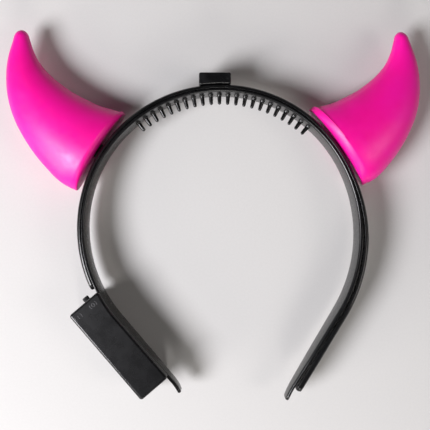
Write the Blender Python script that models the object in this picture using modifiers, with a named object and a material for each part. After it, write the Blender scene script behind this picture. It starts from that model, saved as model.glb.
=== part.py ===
"""Devil horns headband: a comb band under a cover strip, two hollow horns, a centre block and a battery box.

The band lies on its side on a surface: +X runs across the head, +Y from the arms' tips to the top of the
head, and +Z is the band's width, straight up from the surface. Sizes are in millimetres until a mesh is made.
"""

import math

import bmesh
import bpy
import numpy as np
from mathutils import Vector

MM = 0.001
CLEARANCE = 0.3

# Where the middle of the band's round stretch lies, and the height of the middle of its width
BAND_CENTRE = (3.81, -6.61)
MID_HEIGHT = 13.5

# The inner face of the comb band, from the top of the head down each side: length, clockwise turn
TOP_RADIUS = 65.75
RIGHT_RADIUS = 72.0
LEFT_RUNS = (
    (TOP_RADIUS * math.radians(131.0), 131.0),
    (41.0, 0.0),
    (7.0, -20.0),
)
RIGHT_RUNS = (
    (TOP_RADIUS * math.radians(60.0), 60.0),
    (RIGHT_RADIUS * math.radians(61.0), 61.0),
    (41.5, 0.0),
    (8.6, -10.0),
)

# The two layers. Distances run along the inner face from the top of the head, to the right
# Columns: distance, comb band's thickness, seam between the layers, cover strip's thickness
LAYERS = (
    (-200.0, 1.6, 0.3, 1.8),
    (0.0, 1.5, 0.3, 1.8),
    (78.0, 1.5, 0.3, 1.8),
    (108.0, 1.8, 1.0, 2.0),
    (150.0, 1.8, 1.0, 2.3),
    (194.0, 1.6, 1.0, 2.9),
)
# Columns: distance, width of both layers
WIDTHS = (
    (-198.3, 7.0),
    (-195.0, 9.5),
    (-170.0, 13.0),
    (-140.0, 16.0),
    (140.0, 16.0),
    (172.0, 13.0),
    (192.0, 9.5),
    (195.6, 7.0),
)
BAND_ENDS = (-198.3, 195.6)
COVER_ENDS = (-132.4, 189.0)
STATION_STEP = 4.0
EDGE_CHAMFER = 0.5

# Comb teeth on the inner face
TEETH_SPAN = (-43.7, 46.6)
TOOTH_PITCH = 4.3
TOOTH_LENGTH = 4.6
TOOTH_ROOT_RADIUS = 1.15
TOOTH_TIP_RADIUS = 0.5
TOOTH_BURIED = 0.8

# A horn's sections from base to tip, in its own frame: across the base chord, and along from it
# Columns: outer edge across, outer edge along, inner edge across, inner edge along, half depth
HORN_SECTIONS = (
    (-22.0, 0.0, 22.0, 0.0, 13.5),
    (-22.4, 9.3, 20.2, 6.7, 13.4),
    (-20.4, 18.5, 18.5, 13.4, 12.7),
    (-17.5, 27.5, 17.7, 20.2, 11.8),
    (-13.7, 36.1, 17.2, 27.1, 10.7),
    (-9.0, 44.2, 17.5, 34.0, 9.4),
    (-3.1, 51.5, 18.4, 40.9, 8.0),
    (4.0, 57.6, 20.2, 47.5, 6.5),
    (13.2, 62.9, 23.7, 54.1, 5.1),
    (24.3, 66.4, 28.3, 60.0, 3.8),
)
HORN_STEPS = 2
HORN_SIDES = 20
HORN_CAP_SHARES = (0.25, 0.5, 0.75, 0.95)
HORN_CAP_LENGTH = 3.8
HORN_WALL = 1.8
HORN_LIP_ACROSS = 0.5
HORN_LIP_DEPTH = 3.4
HORN_LIP_HEIGHT = 3.0
# The bevelled lip between the floor and the side. Columns: share drawn in, share of its height
HORN_LIP_PROFILE = (
    (1.0, 0.0),
    (0.78, 0.1),
    (0.18, 0.7),
)
HORN_SADDLE = 1.6
HORN_SADDLE_SECTIONS = 3.0
HORN_HOLE_RADIUS = 3.9
# Columns: name, side, seat angle above the ears, seat radius, lean outwards per length, scale across and along
HORN_SEATS = (
    ("left", -1, 32.3, 69.5, 0.005, 1.025, 1.0),
    ("right", 1, 35.0, 68.6, 0.042, 1.04, 0.905),
)

# The post that holds each horn: a shaft from the cover strip through the horn's floor, and a head inside
POST_RADIUS = 3.5
POST_HEAD_RADIUS = 5.2
POST_HEAD_EDGE = 1.0
POST_HEAD_NOSE = 1.2
POST_SIDES = 20

# The centre block on top of the cover strip
BLOCK_MIDDLE = -2.85
BLOCK_WIDTH = 15.4
BLOCK_TOP = 75.0
BLOCK_DEPTH = 16.0
BLOCK_ROUNDING = 0.9

# The battery box on the left arm, from its upper outer corner
BOX_CORNER = (-68.74, -48.51)
BOX_SLOPE = 49.4
BOX_LENGTH = 53.0
BOX_DEPTH = 24.5
BOX_ROUNDING = 1.3
BOX_BAND_STEP = 4.0

# The slide switch in the box's upper end. Distances along the end run from the outer corner to the band
SWITCH_REST = 10.0
SWITCH_TRAVEL = 2.6
LEVER_WIDTH = 3.2
LEVER_HEIGHT = 2.2
SLOT_MIDDLE = 16.0
LEVER_OUTSIDE = 2.2
LEVER_INSIDE = 2.9

# Finishes: base colour, roughness, transmission
PINK_PLASTIC = ((0.84, 0.012, 0.33), 0.42, 0.15)
BLACK_PLASTIC = ((0.012, 0.012, 0.013), 0.38, 0.0)
LEVER_PLASTIC = ((0.016, 0.016, 0.017), 0.5, 0.0)


def clear_scene():
    """Remove every object of the startup scene."""
    for obj in list(bpy.data.objects):
        bpy.data.objects.remove(obj, do_unlink=True)


def new_collection(name):
    """A collection linked to the scene."""
    collection = bpy.data.collections.new(name)
    bpy.context.scene.collection.children.link(collection)
    return collection


def new_material(name, finish):
    """A Principled material from a base colour, a roughness and a transmission."""
    colour, roughness, transmission = finish
    material = bpy.data.materials.new(name)
    material.use_nodes = True
    shader = material.node_tree.nodes["Principled BSDF"]
    shader.inputs["Base Color"].default_value = (*colour, 1.0)
    shader.inputs["Roughness"].default_value = roughness
    shader.inputs["Transmission Weight"].default_value = transmission
    shader.inputs["Metallic"].default_value = 0.0
    material.diffuse_color = (*colour, 1.0)
    return material


def new_object(name, bm, collection, material=None):
    """An object from a bmesh in millimetres, its faces turned outwards and its round stretches smooth."""
    bmesh.ops.recalc_face_normals(bm, faces=bm.faces)
    if bm.calc_volume(signed=True) < 0.0:
        bmesh.ops.reverse_faces(bm, faces=bm.faces)
    bmesh.ops.scale(bm, vec=(MM, MM, MM), verts=bm.verts)
    mesh = bpy.data.meshes.new(name)
    bm.to_mesh(mesh)
    bm.free()
    mesh.shade_smooth()
    mesh.set_sharp_from_angle(angle=math.radians(35.0))
    if material:
        mesh.materials.append(material)
    obj = bpy.data.objects.new(name, mesh)
    collection.objects.link(obj)
    return obj


def hide_helper(obj):
    """Keep a cutter or a joined helper out of the render."""
    obj.hide_render = True
    obj.display_type = "WIRE"


def add_boolean(obj, other, operation):
    """Cut or join another object with the exact solver."""
    modifier = obj.modifiers.new(operation.lower(), "BOOLEAN")
    modifier.object = other
    modifier.operation = operation
    modifier.solver = "EXACT"


def add_bevel(obj, width, angle_deg):
    """Round the edges sharper than an angle."""
    modifier = obj.modifiers.new("rounding", "BEVEL")
    modifier.width = width * MM
    modifier.segments = 2
    modifier.limit_method = "ANGLE"
    modifier.angle_limit = math.radians(angle_deg)


def loft(rings, closed_start=True, closed_end=True):
    """A bmesh skin through rings of equal length, with flat ends where asked."""
    bm = bmesh.new()
    loops = [[bm.verts.new(point) for point in ring] for ring in rings]
    count = len(loops[0])
    for first, second in zip(loops, loops[1:]):
        for k in range(count):
            after = (k + 1) % count
            bm.faces.new((first[k], first[after], second[after], second[k]))
    if closed_start:
        bm.faces.new(loops[0])
    if closed_end:
        bm.faces.new(loops[-1])
    return bm


def follow(runs, distance):
    """Point and outward normal at a distance down one side of the inner face, the side running to +X."""
    point = Vector((0.0, TOP_RADIUS))
    heading = 0.0
    for length, turn_deg in runs:
        step = min(distance, length)
        turn = math.radians(turn_deg)
        bend = turn * step / length
        chord = 2.0 * length / turn * math.sin(bend / 2.0) if turn else step
        middle = heading - bend / 2.0
        point += chord * Vector((math.cos(middle), math.sin(middle)))
        heading -= bend
        distance -= step
    return point, Vector((-math.sin(heading), math.cos(heading)))


def rail(distance, offset):
    """The point at a distance from the top, to the right where positive, and this far out of the inner face."""
    side = -1.0 if distance < 0.0 else 1.0
    point, normal = follow(LEFT_RUNS if side < 0.0 else RIGHT_RUNS, abs(distance))
    point += offset * normal
    return Vector((BAND_CENTRE[0] + side * point.x, BAND_CENTRE[1] + point.y))


def column(table, distance, index):
    """A value read between the rows of a table whose first column is a distance."""
    rows = np.array(table)
    return float(np.interp(distance, rows[:, 0], rows[:, index]))


def cover_offsets(distance):
    """How far the cover strip's two faces lie out of the inner face."""
    inner = column(LAYERS, distance, 1) + column(LAYERS, distance, 2)
    return inner, inner + column(LAYERS, distance, 3)


def strip_ring(distance, low, high):
    """A flat band's section: a rectangle with chamfered corners between two offsets."""
    half = column(WIDTHS, distance, 1) / 2.0
    cut = min(EDGE_CHAMFER, (high - low) / 3.0)
    corners = (
        (low + cut, -half),
        (high - cut, -half),
        (high, -half + cut),
        (high, half - cut),
        (high - cut, half),
        (low + cut, half),
        (low, half - cut),
        (low, -half + cut),
    )
    return [(*rail(distance, offset), MID_HEIGHT + height) for offset, height in corners]


def stations(start, end):
    """Evenly spaced distances from start to end."""
    return np.linspace(start, end, round((end - start) / STATION_STEP) + 1).tolist()


def make_comb_band(collection, helpers, material):
    """The inner band with its row of teeth."""
    rings = [strip_ring(s, 0.0, column(LAYERS, s, 1)) for s in stations(*BAND_ENDS)]
    band = new_object("comb_band", loft(rings), collection, material)
    teeth = bmesh.new()
    height = TOOTH_LENGTH + TOOTH_BURIED
    count = round((TEETH_SPAN[1] - TEETH_SPAN[0]) / TOOTH_PITCH) + 1
    for distance in np.linspace(*TEETH_SPAN, count).tolist():
        root = rail(distance, TOOTH_BURIED)
        tip = rail(distance, -TOOTH_LENGTH)
        middle = Vector((*((root + tip) / 2.0), MID_HEIGHT))
        turn = Vector((*(tip - root), 0.0)).to_track_quat("Z", "Y").to_matrix().to_4x4()
        turn.translation = middle
        bmesh.ops.create_cone(
            teeth,
            cap_ends=True,
            segments=6,
            radius1=TOOTH_ROOT_RADIUS,
            radius2=TOOTH_TIP_RADIUS,
            depth=height,
            matrix=turn,
        )
    helper = new_object("comb_teeth", teeth, helpers)
    hide_helper(helper)
    add_boolean(band, helper, "UNION")
    return band


def make_cover_strip(collection, material):
    """The outer strip over the comb band, which the wires run under."""
    rings = [strip_ring(s, *cover_offsets(s)) for s in stations(*COVER_ENDS)]
    return new_object("cover_strip", loft(rings), collection, material)


def spline(rows, position):
    """A smooth value between table rows: a cubic through them with each row's slope from its neighbours."""
    index = min(int(position), len(rows) - 2)
    share = position - index
    start = rows[index]
    end = rows[index + 1]
    before = rows[index - 1] if index > 0 else 2.0 * start - end
    after = rows[index + 2] if index + 2 < len(rows) else 2.0 * end - start
    slope_start = (end - before) / 2.0
    slope_end = (after - start) / 2.0
    return (
        (2 * share**3 - 3 * share**2 + 1) * start
        + (share**3 - 2 * share**2 + share) * slope_start
        + (3 * share**2 - 2 * share**3) * end
        + (share**3 - share**2) * slope_end
    )


def saddle(across, position):
    """How far the base hollows to follow the band, fading out over the first sections."""
    fade = max(0.0, 1.0 - position / HORN_SADDLE_SECTIONS) ** 2
    half = HORN_SECTIONS[0][2]
    return HORN_SADDLE * max(0.0, 1.0 - (across / half) ** 2) * fade


def horn_ring(rows, wall, position, inset=0.0, lift=0.0):
    """A section of a horn's skin: an ellipse between its two edges, drawn in by the wall and part of the lip."""
    outer_x, outer_y, inner_x, inner_y, half_depth = spline(rows, position)
    middle = Vector(((outer_x + inner_x) / 2.0, (outer_y + inner_y) / 2.0))
    reach = Vector(((inner_x - outer_x) / 2.0, (inner_y - outer_y) / 2.0))
    unit = reach.normalized()
    half = reach.length - inset * HORN_LIP_ACROSS - wall
    depth = half_depth - inset * HORN_LIP_DEPTH - wall
    ring = []
    for k in range(HORN_SIDES):
        angle = 2.0 * math.pi * k / HORN_SIDES
        point = middle + half * math.cos(angle) * unit
        point.y += lift + saddle(point.x, position)
        ring.append((point.x, point.y, depth * math.sin(angle)))
    return ring


def horn_floor_ring(rows, wall, share):
    """A ring of the horn's floor, from the hole's round rim (share 0) out to the lip (share 1)."""
    lip = np.array(horn_ring(rows, wall, 0.0, inset=1.0))
    angles = 2.0 * np.pi * np.arange(HORN_SIDES) / HORN_SIDES
    rim = HORN_HOLE_RADIUS * np.stack([np.cos(angles), 0.0 * angles, np.sin(angles)], axis=1)
    ring = rim * (1.0 - share) + lip * share
    ring[:, 1] = [wall + saddle(across, 0.0) for across in ring[:, 0]]
    return [tuple(point) for point in ring]


def horn_cap_ring(rows, wall, share):
    """A ring of the horn's round tip, drawn in along a quarter circle past the last section."""
    angle = share * math.pi / 2.0
    ring = np.array(horn_ring(rows, wall, len(rows) - 1.0))
    middle = ring.mean(axis=0)
    along = np.array([rows[-1][3] - rows[-1][1], rows[-1][0] - rows[-1][2], 0.0])
    along *= (wall - HORN_CAP_LENGTH) / np.linalg.norm(along)
    return (middle + (ring - middle) * math.cos(angle) + along * math.sin(angle)).tolist()


def horn_skin(rows, wall):
    """The rings of a skin this far inside the horn: from the floor's hole, round the lip and up to the tip."""
    rings = [horn_floor_ring(rows, wall, share) for share in (0.0, 0.5)]
    rings += [
        horn_ring(rows, wall, 0.0, inset, wall + HORN_LIP_HEIGHT * lift) for inset, lift in HORN_LIP_PROFILE
    ]
    first = (wall + HORN_LIP_HEIGHT) / rows[1][3]
    last = len(rows) - 1.0
    count = HORN_STEPS * (len(rows) - 1) + 1
    rings += [horn_ring(rows, wall, position) for position in np.linspace(first, last, count)]
    rings += [horn_cap_ring(rows, wall, share) for share in HORN_CAP_SHARES]
    return rings


def make_horn(seat, collection, material):
    """One hollow horn: an inner and an outer skin that meet round the hole in its floor."""
    name, side, angle, radius, lean, scale_across, scale_along = seat
    rows = np.array(HORN_SECTIONS)
    bm = loft([*reversed(horn_skin(rows, HORN_WALL)), *horn_skin(rows, 0.0)])
    bmesh.ops.scale(bm, vec=(scale_across, scale_along, 1.0), verts=bm.verts)
    for vert in bm.verts:
        vert.co.x = -side * (vert.co.x - lean * vert.co.y)
    horn = new_object(f"horn_{name}", bm, collection, material)
    direction = math.radians(angle)
    horn.location = seat_point(side, direction, radius)
    horn.rotation_euler.z = -side * (math.pi / 2.0 - direction)
    return horn


def seat_point(side, direction, radius):
    """The point at a radius from the band's centre, at an angle above the ears on one side, in metres."""
    return Vector(
        (
            BAND_CENTRE[0] + side * radius * math.cos(direction),
            BAND_CENTRE[1] + radius * math.sin(direction),
            MID_HEIGHT,
        )
    ) * MM


def make_post(seat, collection, material):
    """The post that a horn sits on, turned about its own axis and laid along the horn's."""
    name, side, angle, radius, _, _, scale_along = seat
    cover_top = TOP_RADIUS + cover_offsets(0.0)[1]
    foot = cover_top + CLEARANCE
    shaft = radius + scale_along * (HORN_SADDLE + HORN_WALL) + CLEARANCE - foot
    edge = shaft + POST_HEAD_EDGE
    nose = edge + POST_HEAD_NOSE
    profile = (
        (0.0, nose),
        (POST_RADIUS, nose),
        (POST_HEAD_RADIUS, edge),
        (POST_HEAD_RADIUS, shaft),
        (POST_RADIUS, shaft),
        (POST_RADIUS, 0.0),
        (0.0, 0.0),
    )
    mesh = bpy.data.meshes.new(f"post_{name}")
    points = [(across * MM, 0.0, height * MM) for across, height in profile]
    mesh.from_pydata(points, [(k, k + 1) for k in range(len(points) - 1)], [])
    mesh.materials.append(material)
    post = bpy.data.objects.new(f"post_{name}", mesh)
    collection.objects.link(post)
    turned = post.modifiers.new("turned", "SCREW")
    turned.steps = POST_SIDES
    turned.render_steps = POST_SIDES
    turned.use_merge_vertices = True
    turned.merge_threshold = 0.00005
    turned.use_smooth_shade = True
    direction = math.radians(angle)
    post.location = seat_point(side, direction, foot)
    outward = Vector((side * math.cos(direction), math.sin(direction), 0.0))
    post.rotation_euler = outward.to_track_quat("Z", "Y").to_euler()
    return post


def extruded(name, outline, low, high, collection, material=None):
    """A flat outline in X and Y, filled and drawn up from one height to another, as a welded mesh."""
    curve = bpy.data.curves.new(name, "CURVE")
    curve.dimensions = "2D"
    curve.fill_mode = "BOTH"
    curve.extrude = (high - low) / 2.0 * MM
    path = curve.splines.new("POLY")
    path.points.add(len(outline) - 1)
    for point, (x, y) in zip(path.points, outline):
        point.co = (x * MM, y * MM, 0.0, 1.0)
    path.use_cyclic_u = True
    drawn = bpy.data.objects.new(f"{name}_outline", curve)
    collection.objects.link(drawn)
    bpy.context.view_layer.update()
    graph = bpy.context.evaluated_depsgraph_get()
    mesh = bpy.data.meshes.new_from_object(drawn.evaluated_get(graph))
    bpy.data.objects.remove(drawn, do_unlink=True)
    bm = bmesh.new()
    bm.from_mesh(mesh)
    bmesh.ops.remove_doubles(bm, verts=bm.verts, dist=0.00001)
    bmesh.ops.dissolve_limit(bm, angle_limit=0.001, verts=bm.verts, edges=bm.edges)
    bmesh.ops.scale(bm, vec=(1.0 / MM, 1.0 / MM, 1.0 / MM), verts=bm.verts)
    bpy.data.meshes.remove(mesh)
    obj = new_object(name, bm, collection, material)
    obj.location.z = (low + high) / 2.0 * MM
    return obj


def make_centre_block(collection, material):
    """The small block on top, its underside curved to sit on the cover strip."""
    seat = TOP_RADIUS + cover_offsets(0.0)[1] + CLEARANCE
    left = BLOCK_MIDDLE - BLOCK_WIDTH / 2.0
    right = BLOCK_MIDDLE + BLOCK_WIDTH / 2.0
    under = [(x, math.sqrt(seat**2 - x**2)) for x in np.linspace(left, right, 5)]
    outline = [*under, (right, BLOCK_TOP), (left, BLOCK_TOP)]
    placed = [(BAND_CENTRE[0] + x, BAND_CENTRE[1] + y) for x, y in outline]
    half = BLOCK_DEPTH / 2.0
    block = extruded("centre_block", placed, MID_HEIGHT - half, MID_HEIGHT + half, collection, material)
    add_bevel(block, BLOCK_ROUNDING, 60.0)
    return block


def box_point(across, down):
    """A point of the battery box: across its upper end towards the band, and down its length."""
    slope = math.radians(BOX_SLOPE)
    return Vector(
        (
            BOX_CORNER[0] + across * math.sin(slope) + down * math.cos(slope),
            BOX_CORNER[1] + across * math.cos(slope) - down * math.sin(slope),
        )
    )


def box_place(point):
    """A point's distances across and down the battery box."""
    slope = math.radians(BOX_SLOPE)
    x = point.x - BOX_CORNER[0]
    y = point.y - BOX_CORNER[1]
    return x * math.sin(slope) + y * math.cos(slope), x * math.cos(slope) - y * math.sin(slope)


def box_band_side():
    """The box's side along the comb band, from its lower end to its upper end."""
    distances = np.arange(-195.0, -100.0, 0.25).tolist()
    offsets = [column(LAYERS, s, 1) + CLEARANCE for s in distances]
    places = np.array([box_place(rail(s, offset)) for s, offset in zip(distances, offsets)])
    inside = (places[:, 1] > 0.0) & (places[:, 1] < BOX_LENGTH)
    places = places[inside]
    downs = np.linspace(BOX_LENGTH, 0.0, round(BOX_LENGTH / BOX_BAND_STEP) + 1)
    order = np.argsort(places[:, 1])
    acrosses = np.interp(downs, places[order, 1], places[order, 0])
    return [box_point(across, down) for across, down in zip(acrosses, downs)]


def box_block(name, across, down, height, collection, material=None):
    """A plain block lined up with the battery box, each argument after the name a low and a high side."""
    bm = bmesh.new()
    bmesh.ops.create_cube(bm, size=1.0)
    size = [high - low for low, high in (across, down, height)]
    bmesh.ops.scale(bm, vec=size, verts=bm.verts)
    obj = new_object(name, bm, collection, material)
    middle = box_point(sum(across) / 2.0, sum(down) / 2.0)
    obj.location = Vector((*middle, sum(height) / 2.0)) * MM
    obj.rotation_euler.z = math.pi / 2.0 - math.radians(BOX_SLOPE)
    return obj


def make_battery_box(collection, helpers, material):
    """The battery box: square outside, curved along the band, with the switch's slot in its upper end."""
    outline = [box_point(0.0, 0.0), box_point(0.0, BOX_LENGTH), *box_band_side()]
    box = extruded("battery_box", outline, 0.0, BOX_DEPTH, collection, material)
    add_bevel(box, BOX_ROUNDING, 60.0)
    slot = box_block(
        "switch_slot",
        (
            SWITCH_REST - SWITCH_TRAVEL - LEVER_WIDTH / 2.0 - CLEARANCE,
            SWITCH_REST + LEVER_WIDTH / 2.0 + CLEARANCE,
        ),
        (-LEVER_OUTSIDE, LEVER_INSIDE + CLEARANCE),
        (
            SLOT_MIDDLE - LEVER_HEIGHT / 2.0 - CLEARANCE,
            SLOT_MIDDLE + LEVER_HEIGHT / 2.0 + CLEARANCE,
        ),
        helpers,
    )
    hide_helper(slot)
    add_boolean(box, slot, "DIFFERENCE")
    return box


def make_switch_lever(collection, material):
    """The switch's lever, at rest at the band's end of its slot. It slides towards the outer corner."""
    lever = box_block(
        "switch_lever",
        (SWITCH_REST - LEVER_WIDTH / 2.0, SWITCH_REST + LEVER_WIDTH / 2.0),
        (-LEVER_OUTSIDE, LEVER_INSIDE),
        (SLOT_MIDDLE - LEVER_HEIGHT / 2.0, SLOT_MIDDLE + LEVER_HEIGHT / 2.0),
        collection,
        material,
    )
    return lever


def main():
    clear_scene()
    collection = new_collection("devil_horns_headband")
    helpers = new_collection("cutters")
    pink = new_material("pink_horn_plastic", PINK_PLASTIC)
    black = new_material("black_band_plastic", BLACK_PLASTIC)
    lever_black = new_material("black_lever_plastic", LEVER_PLASTIC)
    pieces = [
        make_comb_band(collection, helpers, black),
        make_cover_strip(collection, black),
        make_centre_block(collection, black),
        make_battery_box(collection, helpers, black),
        make_switch_lever(collection, lever_black),
    ]
    for seat in HORN_SEATS:
        pieces.append(make_horn(seat, collection, pink))
        pieces.append(make_post(seat, collection, black))
    root = bpy.data.objects.new("headband_root", None)
    collection.objects.link(root)
    for piece in pieces:
        piece.parent = root


if __name__ == "__main__":
    main()
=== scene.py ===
"""Looks of the devil horns headband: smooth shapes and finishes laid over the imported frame.

+X runs across the head, +Y to the top of the band and +Z straight up from the surface that it lies on.
Sizes in the classes are millimetres. A mesh is made in metres.
"""

import logging
import math
from dataclasses import dataclass, field
from enum import Enum

import bpy
import numpy as np
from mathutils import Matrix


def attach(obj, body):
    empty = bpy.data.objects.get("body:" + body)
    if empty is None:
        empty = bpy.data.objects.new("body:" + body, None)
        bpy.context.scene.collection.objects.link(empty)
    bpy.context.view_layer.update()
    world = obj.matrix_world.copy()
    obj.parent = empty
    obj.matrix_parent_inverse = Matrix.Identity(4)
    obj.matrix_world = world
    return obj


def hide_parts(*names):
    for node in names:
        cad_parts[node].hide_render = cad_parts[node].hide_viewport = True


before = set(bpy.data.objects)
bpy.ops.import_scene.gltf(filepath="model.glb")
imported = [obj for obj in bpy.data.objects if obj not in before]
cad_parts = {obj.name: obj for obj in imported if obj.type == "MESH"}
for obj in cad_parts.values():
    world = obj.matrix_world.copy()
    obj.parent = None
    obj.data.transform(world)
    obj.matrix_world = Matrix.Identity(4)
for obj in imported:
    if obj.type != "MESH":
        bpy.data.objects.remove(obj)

MM = 0.001
# Two faces that meet at more than this angle have a crease between them
CREASE_DEG = 38.0
# Points in the quarter round of a strip's or a block's edge
EDGE_STEPS = 7
# Width of the flat ring just inside a block's rounded rim
FLAT_RING = 0.05
# A V groove with eased lips. Columns: share of its depth, share of its half width
GROOVE_SHAPE = ((0.0, -1.0), (0.15, -0.85), (1.0, 0.0), (0.15, 0.85), (0.0, 1.0))

log = logging.getLogger("headband")


class Side(Enum):
    """A side of the head as the camera sees it: the sign of its X."""

    LEFT = -1
    RIGHT = 1


class SwitchMark(Enum):
    """The plain marks beside the slide switch."""

    ON = "on"
    OFF = "off"


# ------------------------------------------------------------------ materials


def linear(hex_colour: str) -> tuple[float, float, float, float]:
    """Turn an sRGB hex colour into a linear RGBA one.

    Args:
        hex_colour: six hex digits after a hash sign.

    Returns:
        Red, green, blue and an alpha of 1.
    """
    values = np.array([int(hex_colour[k : k + 2], 16) for k in (1, 3, 5)]) / 255.0
    lin = np.where(values <= 0.04045, values / 12.92, ((values + 0.055) / 1.055) ** 2.4)
    return (*lin.tolist(), 1.0)


def add_node(
    tree: bpy.types.NodeTree,
    kind: str,
    values: dict[str | int, object] | None = None,
    links: dict[str | int, bpy.types.NodeSocket] | None = None,
    **settings: object,
) -> bpy.types.Node:
    """Add a shader node with its settings, socket values and incoming links.

    Args:
        tree: the material's node tree.
        kind: the node's type without the ShaderNode prefix.
        values: input name or index to a value.
        links: input name or index to the socket that feeds it.
        settings: properties of the node.

    Returns:
        The new node.
    """
    node = tree.nodes.new(f"ShaderNode{kind}")
    for name, value in settings.items():
        setattr(node, name, value)
    for name, value in (values or {}).items():
        node.inputs[name].default_value = value
    for name, socket in (links or {}).items():
        tree.links.new(socket, node.inputs[name])
    return node


def new_material(name: str, values: dict[str, object]) -> tuple[bpy.types.Material, bpy.types.Node]:
    """Make a node material with nothing but its shader.

    Args:
        name: the material's name.
        values: the shader's inputs that are the same all over the surface.

    Returns:
        The material and its Principled shader, linked to the output.
    """
    material = bpy.data.materials.new(name)
    material.use_nodes = True
    material.node_tree.nodes.clear()
    shader = add_node(material.node_tree, "BsdfPrincipled", values)
    add_node(material.node_tree, "OutputMaterial", links={"Surface": shader.outputs["BSDF"]})
    return material, shader


def noise(
    tree: bpy.types.NodeTree,
    place: bpy.types.NodeSocket,
    size_mm: float,
    detail: float,
    roughness: float = 0.5,
) -> bpy.types.NodeSocket:
    """Add a noise whose spots are about as wide as the size given.

    Args:
        tree: the material's node tree.
        place: where the noise is read.
        size_mm: width of a spot.
        detail: how many finer layers it has.
        roughness: how strong each finer layer is against the one before.

    Returns:
        The noise, from 0 to 1.
    """
    values = {"Scale": 1.0 / (size_mm * MM), "Detail": detail, "Roughness": roughness}
    return add_node(tree, "TexNoise", values, {"Vector": place}).outputs["Fac"]


def spread(
    tree: bpy.types.NodeTree,
    value: bpy.types.NodeSocket,
    source: tuple[float, float],
    target: tuple[float, float] = (0.0, 1.0),
    **settings: object,
) -> bpy.types.NodeSocket:
    """Add a map of one range of values onto another, held at its ends.

    Args:
        tree: the material's node tree.
        value: what is mapped.
        source: the range that it is read over.
        target: what the range's ends become.
        settings: properties of the node.

    Returns:
        The mapped value.
    """
    ends = zip(("From Min", "From Max", "To Min", "To Max"), (*source, *target))
    return add_node(tree, "MapRange", dict(ends), {"Value": value}, **settings).outputs["Result"]


def add_relief(
    tree: bpy.types.NodeTree, shader: bpy.types.Node, *layers: tuple[bpy.types.NodeSocket, float, float]
) -> None:
    """Stack fine bumps on a shader's normal, each over the one before.

    Args:
        tree: the material's node tree.
        shader: the shader that gets them.
        layers: the height, the strength and the depth in millimetres of each.
    """
    under: dict[str, bpy.types.NodeSocket] = {}
    for height, strength, depth_mm in layers:
        values = {"Strength": strength, "Distance": depth_mm * MM}
        under = {"Normal": add_node(tree, "Bump", values, {"Height": height, **under}).outputs["Normal"]}
    tree.links.new(under["Normal"], shader.inputs["Normal"])


@dataclass(frozen=True)
class MouldedHornVinyl:
    """Soft vinyl, slush moulded in a fluorescent pink: a broad soft sheen over a faint orange peel."""

    name: str = "slush_moulded_pink_vinyl"
    body_hex: str = "#FF069D"
    deep_hex: str = "#F90394"
    pale_hex: str = "#FF0CA8"
    cloud_mm: float = 26.0
    cloud_range: tuple[float, float] = (0.3, 0.72)
    roughness: float = 0.39
    scuff_mm: float = 3.2
    scuff_range: tuple[float, float] = (0.32, 0.7)
    scuff_change: tuple[float, float] = (-0.05, 0.07)
    parting_mm: float = 0.16
    parting_height: float = 13.5
    peel_mm: float = 0.9
    grain_mm: float = 0.28
    # Strength and depth in millimetres of each bump
    peel_bump: tuple[float, float] = (0.22, 0.05)
    grain_bump: tuple[float, float] = (0.16, 0.03)
    parting_bump: tuple[float, float] = (0.5, 0.08)
    refraction: float = 1.52
    glow_weight: float = 0.12
    glow_radius: tuple[float, float, float] = (1.0, 0.18, 0.5)
    glow_mm: float = 1.4

    def make(self) -> bpy.types.Material:
        """Build the material: clouded colour, a mould line at mid height, orange peel and fine scuffs."""
        even = {
            "IOR": self.refraction,
            "Subsurface Weight": self.glow_weight,
            "Subsurface Radius": self.glow_radius,
            "Subsurface Scale": self.glow_mm * MM,
        }
        material, shader = new_material(self.name, even)
        tree = material.node_tree
        place = add_node(tree, "TexCoord").outputs["Object"]
        colour = add_node(tree, "ValToRGB", links={"Fac": noise(tree, place, self.cloud_mm, 3.0)})
        stops = colour.color_ramp.elements
        stops[0].position, stops[1].position = self.cloud_range
        stops[0].color, stops[1].color = linear(self.deep_hex), linear(self.pale_hex)
        stops.new(0.5).color = linear(self.body_hex)
        tree.links.new(colour.outputs["Color"], shader.inputs["Base Color"])
        scuff = noise(tree, place, self.scuff_mm, 5.0, 0.62)
        ends = tuple(self.roughness + change for change in self.scuff_change)
        tree.links.new(spread(tree, scuff, self.scuff_range, ends), shader.inputs["Roughness"])
        # The two mould halves meet in a hairline at the middle of the horn's depth
        height = add_node(tree, "SeparateXYZ", links={"Vector": place}).outputs["Z"]
        away = add_node(tree, "Math", {1: self.parting_height * MM}, {0: height}, operation="SUBTRACT")
        away = add_node(tree, "Math", links={0: away.outputs[0]}, operation="ABSOLUTE").outputs[0]
        near = (0.0, self.parting_mm * MM)
        line = spread(tree, away, near, (1.0, 0.0), interpolation_type="SMOOTHSTEP")
        add_relief(
            tree,
            shader,
            (noise(tree, place, self.peel_mm, 2.0), *self.peel_bump),
            (noise(tree, place, self.grain_mm, 1.0), *self.grain_bump),
            (line, *self.parting_bump),
        )
        return material


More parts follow.
